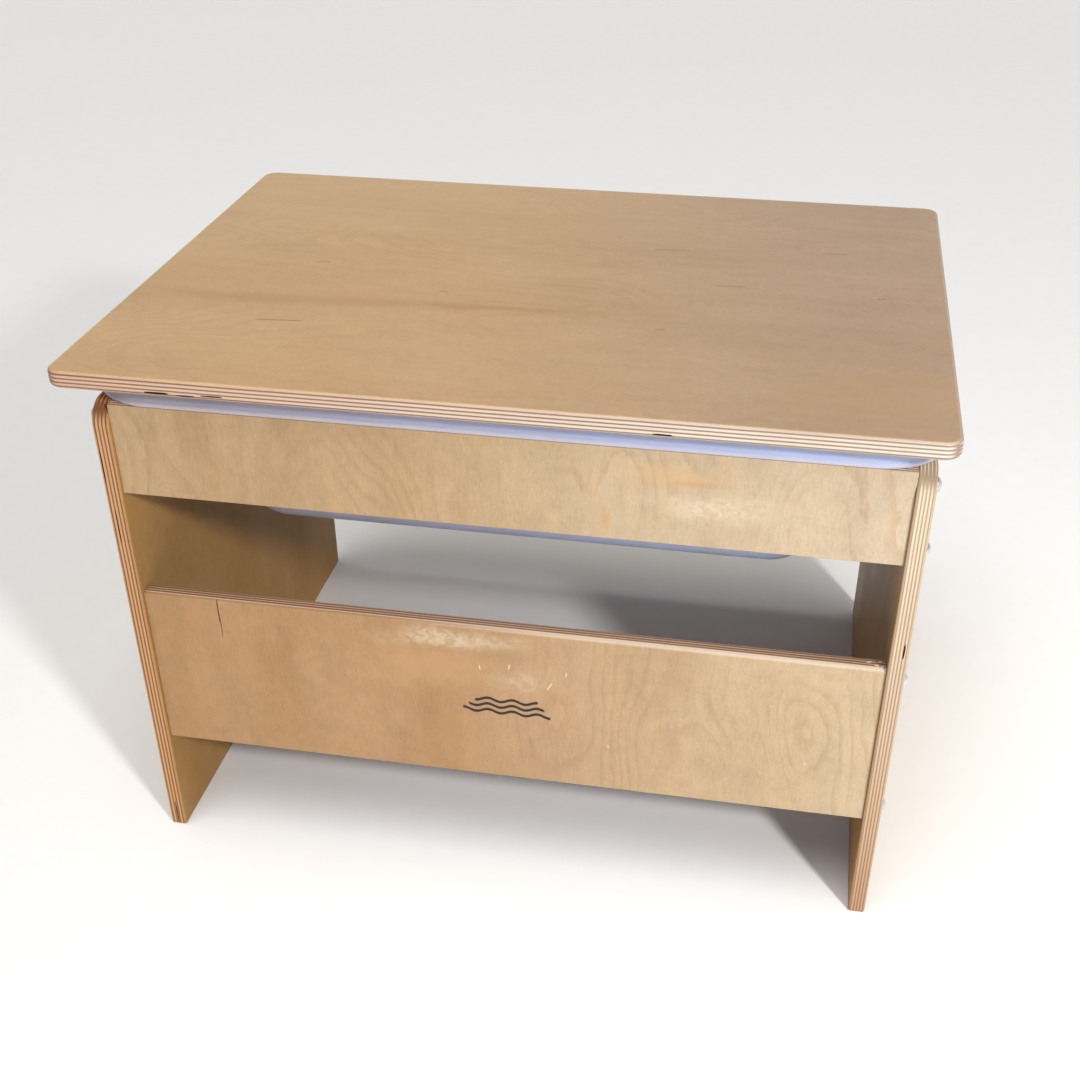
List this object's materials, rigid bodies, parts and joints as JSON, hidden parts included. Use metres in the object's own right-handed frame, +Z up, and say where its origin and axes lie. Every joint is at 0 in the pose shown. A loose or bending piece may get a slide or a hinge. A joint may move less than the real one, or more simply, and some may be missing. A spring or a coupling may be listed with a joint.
{
  "type": "sand and water table",
  "caption": "Low plywood children's table with flat end panels, front and back aprons and lower rails, a lift-out plastic tub hung by its rim, and a lift-off plywood lid.",
  "frame": {"origin": "on the floor, below the middle of the lid (the middle of the whole table's box)", "axes": "+X along the table's length to the right, +Y to the back, +Z up"},
  "size_m": [0.61, 0.45, 0.4202],
  "materials": {
    "frame_plywood": "satin clear lacquer",
    "lid_plywood": "satin clear lacquer",
    "batten_plywood": "satin clear lacquer",
    "tub_plastic": "translucent, lightly frosted",
    "bolt_zinc": "bright zinc",
    "nut_steel": "zinc",
    "screw_steel": "yellow zinc"
  },
  "bodies": {
    "frame": {"left_end_panel": "frame_plywood", "right_end_panel": "frame_plywood", "front_apron": "frame_plywood", "back_apron": "frame_plywood", "front_lower_rail": "frame_plywood", "back_lower_rail": "frame_plywood", "front_apron_bolts": "bolt_zinc", "back_apron_bolts": "bolt_zinc", "front_rail_bolts": "bolt_zinc", "back_rail_bolts": "bolt_zinc", "front_apron_barrel_nuts": "nut_steel", "back_apron_barrel_nuts": "nut_steel", "front_rail_barrel_nuts": "nut_steel", "back_rail_barrel_nuts": "nut_steel"},
    "tub": {"tub": "tub_plastic"},
    "lid": {"lid_board": "lid_plywood", "lid_left_batten": "batten_plywood", "lid_right_batten": "batten_plywood", "left_batten_screws": "screw_steel", "right_batten_screws": "screw_steel"}
  },
  "joints": [
    {"name": "tub_lift", "type": "slide", "parent": "frame", "child": "tub", "axis": [0, 0, 1], "range_m": [0, 0.18]},
    {"name": "lid_lift", "type": "slide", "parent": "tub", "child": "lid", "axis": [0, 0, 1], "range_m": [0, 0.2]}
  ]
}
